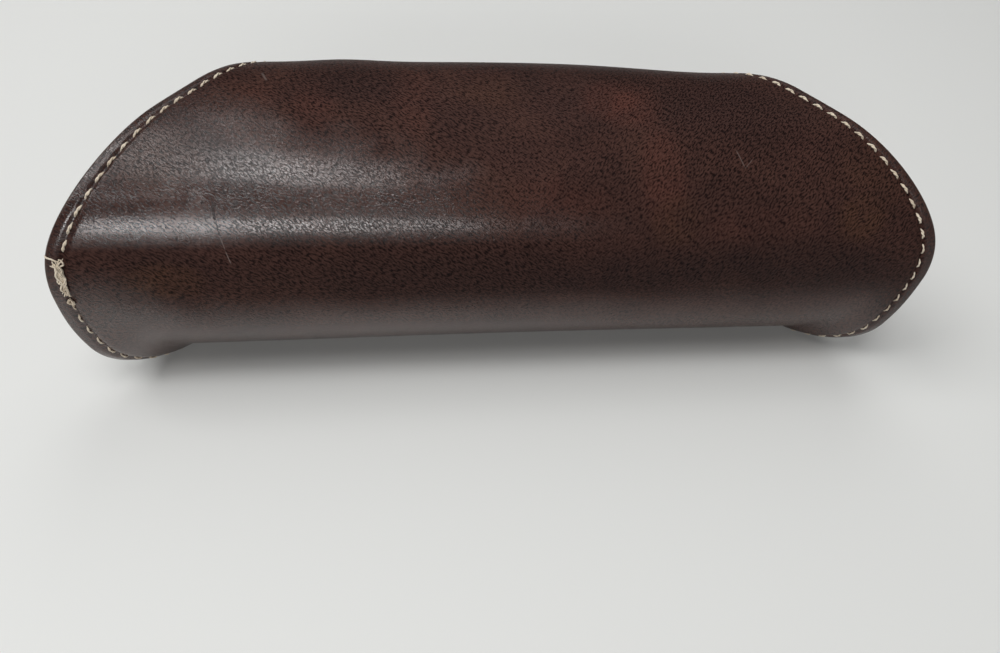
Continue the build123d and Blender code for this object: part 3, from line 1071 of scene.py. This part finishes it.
def endRing(side, back, depth, bulge=0.0, share=1.0):
    # points of one ring and their places on the flat hide; share shrinks it towards the middle
    walk, atMouth = endLoop()
    x = halfLength(walk) - back
    y, z, ny, nz = sectionAt(walk, rollAt(x, back))
    shift = worn(x, walk) * eased(walk, foldPlace, foldPlace + ends["wearFrom"])
    shift = shift - form["curl"] * np.clip(1 - back / form["seam"], 0, 1) ** 2
    shift = shift * (1 - eased(walk, farSideEnd, undersideStart)) * (atMouth == 0)
    shift = shift - depth - floorZ * atMouth
    middleY, middleZ = (near + far) / 2 + ends["middleShift"], (top + floorZ) / 2
    y, z = mixed(middleY, y + ny * shift, share), mixed(middleZ, z + nz * shift, share)
    x = cutLine(y, z, walk, share) - back + bulge * (1 - share**2)
    unrolled = np.maximum(ends["panelBack"] - back, 0)
    flatY, flatZ = y + ny * unrolled, z + nz * unrolled
    along, fromEdge = ends["hidePlace"]
    flat = np.stack([flatY * ends["fineness"], flatZ * ends["fineness"] + along, 0 * y + fromEdge], -1)
    return np.stack([side * x, y, z], -1), flat


def closeRings(name, rings, finish, flip):
    # rings joined one after another; the first and last are closed by a point in their middle
    count, size = len(rings), len(rings[0][0])
    points, flat = [np.concatenate([*r, [r[0].mean(0)], [r[-1].mean(0)]]) for r in zip(*rings)]
    faces = []
    for r in range(count - 1):
        for i in range(size):
            j = (i + 1) % size
            faces.append((r * size + i, r * size + j, (r + 1) * size + j, (r + 1) * size + i))
    for i in range(size):
        j = (i + 1) % size
        faces.append((count * size, j, i))
        faces.append((count * size + 1, (count - 1) * size + i, (count - 1) * size + j))
    if flip:
        faces = [f[::-1] for f in faces]
    made = makeObject(name, points, faces, finish, flat)
    made.data.set_sharp_from_angle(angle=radians(ends["sharp"]))
    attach(made, "body")
    return made


innerRings = np.linspace(1, ends["lastRing"], ends["rings"])[1:]


def makeEndPanel(side, word):
    skin, back, bend = ends["leather"], ends["panelBack"], ends["bend"]
    first, edge, bulge = ends["setback"], ends["edge"], ends["bulge"]
    turn = np.linspace(0, pi / 2, ends["cornerPoints"])
    run = np.linspace(first + 2 * edge, back - bend, 4)
    corner = bend + skin
    seen = [(first + edge * (1 - cos(a)), skin - edge * (1 - sin(a))) for a in turn]
    seen += [(b, skin) for b in run]
    seen += [(back - bend + bend * sin(a), skin + bend * (1 - cos(a))) for a in turn[1:]]
    hidden = [(first + edge * (1 - cos(a)), edge * (1 - sin(a))) for a in turn]
    hidden += [(b, 0.0) for b in run]
    hidden += [(back - bend + corner * sin(a), corner * (1 - cos(a))) for a in turn[1:]]
    outer = [endRing(side, b, boardDepth + d) for b, d in seen]
    outer += [endRing(side, back, boardDepth + corner, bulge, s) for s in innerRings]
    inner = [endRing(side, b, boardDepth + d) for b, d in hidden]
    inner += [endRing(side, back + skin, boardDepth + corner, bulge, s) for s in innerRings]
    panel = closeRings(f"{word}EndPanel", outer[::-1] + inner, "leather", side < 0)
    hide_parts(f"{word}_end_leather")


def makeEndWall(side, word):
    _, atMouth = endLoop()
    slanted = sqrt(1 + slope**2)
    boardFrom = ends["panelBack"] + ends["leather"] + form["glue"]
    boardTo = boardFrom + form["board"] * slanted
    liningFrom = boardTo + form["glue"]
    liningTo = liningFrom + form["lining"] * slanted
    inset = boardDepth + ends["clear"]
    turned = (atMouth > 0) * (form["lining"] + form["glue"])       # room for the lining at the mouth
    shares = (1, *innerRings)
    shown = [endRing(side, boardTo, inset + turned, 0.0, s) for s in shares]
    glued = [endRing(side, boardFrom, inset + turned, 0.0, s) for s in shares]
    board = closeRings(f"{word}EndBoard", shown[::-1] + glued, "board", side > 0)
    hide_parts(f"{word}_end_board")

    shown = [endRing(side, liningTo, inset, 0.0, s) for s in shares]
    glued = [endRing(side, liningFrom, inset + turned, 0.0, s) for s in shares]
    outerEdge, innerEdge = [mixed(liningFrom + v, boardFrom, atMouth > 0) for v in ends["turnOver"]]
    overEdge = [endRing(side, outerEdge, inset), endRing(side, innerEdge, inset + turned)]
    lining = closeRings(f"{word}EndLining", shown[::-1] + overEdge + glued, "lining", side > 0)
    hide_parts(f"{word}_end_lining")
    y, z = glued[0][0][:, 1] * mm, glued[0][0][:, 2] * mm
    area = 0.5 * abs((y * np.roll(z, -1) - np.roll(y, -1) * z).sum()) * slanted


for side, word in ((-1, "left"), (1, "right")):
    makeEndPanel(side, word)
    makeEndWall(side, word)
print("end panels made")


# thread: every stitch is two plies twisted round each other, let down into its holes

thread = {
    "ply": 0.21,                              # radius
    "apart": 0.17,                            # each ply's centre from the thread's middle
    "lay": 1.9,                               # length of one twist
    "lift": 0.2,
    "sunk": 0.55,
    "rise": 0.42,                             # the smaller, the flatter a stitch lies
    "thinner": 0.8,                           # at its ends
    "slant": 0.14,
    "uneven": {"slant": 0.5, "edge": 0.03, "lift": 0.05},
    "sides": 6,
    "points": 13,
    "upperSize": {"left": 0.80, "right": 0.88},
    "lowerSize": 0.56,
}


def tube(centres, radii, sides):
    centres = np.asarray(centres, float)
    along = np.gradient(centres, axis=0)
    along /= np.linalg.norm(along, axis=1, keepdims=True) + 1e-9
    aside = np.cross(along, (0.31, 0.2, 0.93))
    aside /= np.linalg.norm(aside, axis=1, keepdims=True) + 1e-9
    above = np.cross(aside, along)
    points, faces = [], []
    for i, centre in enumerate(centres):
        for k in range(sides):
            a = 2 * pi * k / sides
            points.append(centre + radii[i] * (cos(a) * aside[i] + sin(a) * above[i]))
    for i in range(len(centres) - 1):
        for k in range(sides):
            n = (k + 1) % sides
            faces.append((i * sides + k, i * sides + n, (i + 1) * sides + n, (i + 1) * sides + k))
    faces.append(tuple(range(sides))[::-1])
    faces.append(tuple((len(centres) - 1) * sides + k for k in range(sides)))
    return points, faces


def gather(parts):
    points, faces = [], []
    for morePoints, moreFaces in parts:
        start = len(points)
        points += list(morePoints)
        faces += [tuple(i + start for i in f) for f in moreFaces]
    return points, faces


def onSeam(side, walk, fromEdge, lift):
    walk, fromEdge, lift = np.broadcast_arrays(np.asarray(walk, float), fromEdge, lift)
    x = side * (halfLength(walk) - fromEdge)
    points, ways = surfaceAt(x, walk, fromEdge, 0.0)
    return points + ways * lift[:, None], ways


def stitchTubes(side, a, b, size):
    uneven = thread["uneven"]
    t = np.linspace(0, 1, thread["points"])
    slant = thread["slant"] * (1 + uneven["slant"] * chance.standard_normal())
    fromEdge = form["seam"] + slant * (t - 0.5) + uneven["edge"] * chance.standard_normal()
    lifted = thread["lift"] + uneven["lift"] * chance.standard_normal()
    lift = mixed(-thread["sunk"], lifted, np.sin(pi * t) ** thread["rise"])
    return twistedPair(*onSeam(side, mixed(a, b, t), fromEdge, lift), size)


def lipStitch(x0, x1):
    t = np.linspace(0, 1, thread["points"])
    lift = mixed(-thread["sunk"], thread["lift"], np.sin(pi * t) ** thread["rise"])
    uneven = thread["uneven"]["lift"] * chance.standard_normal()
    walk = lipPlace - inside["lipSeam"] + uneven + 0 * t
    x = mixed(x0, x1, t)
    depth = boardDepth + form["lining"] + lift
    centres, ways = surfaceAt(x, walk, halfLength(walk) - np.abs(x), depth)
    return twistedPair(centres, -ways, thread["lowerSize"])


def twistedPair(centres, ways, size):
    t = np.linspace(0, 1, len(centres))
    along = np.gradient(centres, axis=0)
    along /= np.linalg.norm(along, axis=1, keepdims=True)
    aside = np.cross(along, ways)
    length = np.linalg.norm(centres[-1] - centres[0])
    turnStart = chance.uniform(0, 2 * pi)
    radii = thread["ply"] * size * mixed(thread["thinner"], 1.0, np.sin(pi * t) ** 0.5)
    made = []
    for ply in (0, pi):
        turn = turnStart + ply + 2 * pi * t * length / thread["lay"]
        offset = np.cos(turn)[:, None] * aside + np.sin(turn)[:, None] * ways
        made.append(tube(centres + thread["apart"] * size * offset, radii, thread["sides"]))
    return made


# the worn start of the thread at the left tip, by distance below the fold
fray = {
    "side": -1,
    "from": 0.4,
    "to": 8.6,
    "strands": 26,
    "starts": 3.0,                            # strands start over this stretch
    "lengths": (3.0, 6.5),
    "sway": 0.42,
    "outward": (0.7, 1.4, 2.0),               # they lean outwards: how far, where, over what half length
    "lift": (0.3, 0.32),                      # least, and how uneven
    "radii": (0.10, 0.21),
    "knot": 10.2,
    "knotHides": 0.6,                         # stitches further above the knot than this are frayed away
    "knotStrands": 10,
    "knotTurns": (2.0, 4.5),                  # radians
    "knotReach": (0.25, 0.7),
    "knotOff": 0.15,
    "knotWide": 1.1,
    "knotLift": (0.25, 0.25),
    "knotRadii": (0.12, 0.2),
    # one strand lies over the edge: below the fold, from the edge, and lifted
    "over": [(1.4, 3.0, 0.3), (1.0, 2.2, 0.22), (0.6, 1.4, 0.2), (0.4, 0.7, 0.2), (0.2, 0.2, 0.15),
             (0.2, -0.12, -0.6)],
    "overRadius": 0.17,
    "steps": 26,                              # along a strand
    "points": 6,                              # that its line follows
    "sides": 5,
    "thinner": 0.35,
}


def smoothLine(t, values, fine):
    dense = np.interp(fine, t, values)
    for i in range(3):
        dense[1:-1] = 0.25 * dense[:-2] + 0.5 * dense[1:-1] + 0.25 * dense[2:]
    return dense


def looseThread(walks, edges, lifts, radius):
    t = np.linspace(0, 1, len(walks))
    fine = np.linspace(0, 1, fray["steps"])
    walk, fromEdge, lift = [smoothLine(t, values, fine) for values in (walks, edges, lifts)]
    centres, _ = onSeam(fray["side"], walk, fromEdge, lift)
    radii = radius * mixed(fray["thinner"], 1.0, np.sin(pi * fine) ** 0.4)
    return tube(centres, radii, fray["sides"])


def frayTubes():
    made = []
    seam, points = form["seam"], fray["points"]
    outward, at, half = fray["outward"]
    for i in range(fray["strands"]):
        first = fray["from"] + chance.uniform(0, fray["starts"])
        last = min(first + chance.uniform(*fray["lengths"]), fray["to"])
        places = np.linspace(first, last, points)
        sway = chance.normal(0, fray["sway"], points) - outward * bell((places - at) / half)
        least, uneven = fray["lift"]
        lifts = least + np.abs(chance.normal(0, uneven, points))
        made.append(looseThread(foldPlace - places, seam + sway, lifts, chance.uniform(*fray["radii"])))
    for i in range(fray["knotStrands"]):
        a = chance.uniform(0, 2 * pi)
        turn = np.linspace(a, a + chance.uniform(*fray["knotTurns"]), points)
        reach = chance.uniform(*fray["knotReach"])
        walks = foldPlace - fray["knot"] + reach * np.cos(turn)
        edges = seam + fray["knotOff"] + reach * fray["knotWide"] * np.sin(turn)
        least, uneven = fray["knotLift"]
        lifts = least + np.abs(chance.normal(0, uneven, points))
        made.append(looseThread(walks, edges, lifts, chance.uniform(*fray["knotRadii"])))
    below, edges, lifts = zip(*fray["over"])
    made.append(looseThread([foldPlace - v for v in below], edges, lifts, fray["overRadius"]))
    return made


def seamTubes(side, word):
    # one end's stitches, those on the body and those on the flap
    body, flap = [], []
    for a, b in seamUp:
        (flap if b < cutPlace else body).extend(stitchTubes(side, a, b, thread["upperSize"][word]))
    for a, b in seamDown:
        below = foldPlace - 0.5 * (a + b)
        if side > 0 or below >= fray["knot"] - fray["knotHides"]:
            flap.extend(stitchTubes(side, a, b, thread["lowerSize"]))
    return body, flap


def makeSeams():
    for side, word in ((-1, "left"), (1, "right")):
        body, flap = seamTubes(side, word)
        print(word, "seams made:", (len(body) + len(flap)) // 2, "stitches")
        if side < 0:
            flap += frayTubes()
        bodySeam = makeObject(f"{word}BodySeam", *gather(body), "thread")
        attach(bodySeam, "body")
        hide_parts(f"{word}_body_seam")
        flapSeam = makeObject(f"{word}FlapSeam", *gather(flap), "thread")
        bendOverFold(flapSeam)
        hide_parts(f"{word}_flap_seam")


def makeLipSeam():
    half = float(halfLength(lipPlace)) - inside["liningBack"] - inside["lipSeamEnd"]
    starts = np.arange(-half, half - form["stitch"], form["pitch"])
    lipTubes = [t for x in starts for t in lipStitch(x, x + form["stitch"])]
    lipSeam = makeObject("lipSeam", *gather(lipTubes), "thread")
    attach(lipSeam, "body")
    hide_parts("lip_seam")
    print("lip seam made:", len(starts), "stitches")


makeSeams()
makeLipSeam()


def dressCad():
    # nodes that keep their own shape
    for node in ("flap_magnets", "catch_discs"):
        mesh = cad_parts[node].data
        mesh.materials.clear()
        mesh.materials.append(finishes["steel"])


dressCad()
print("magnets and catch discs dressed")
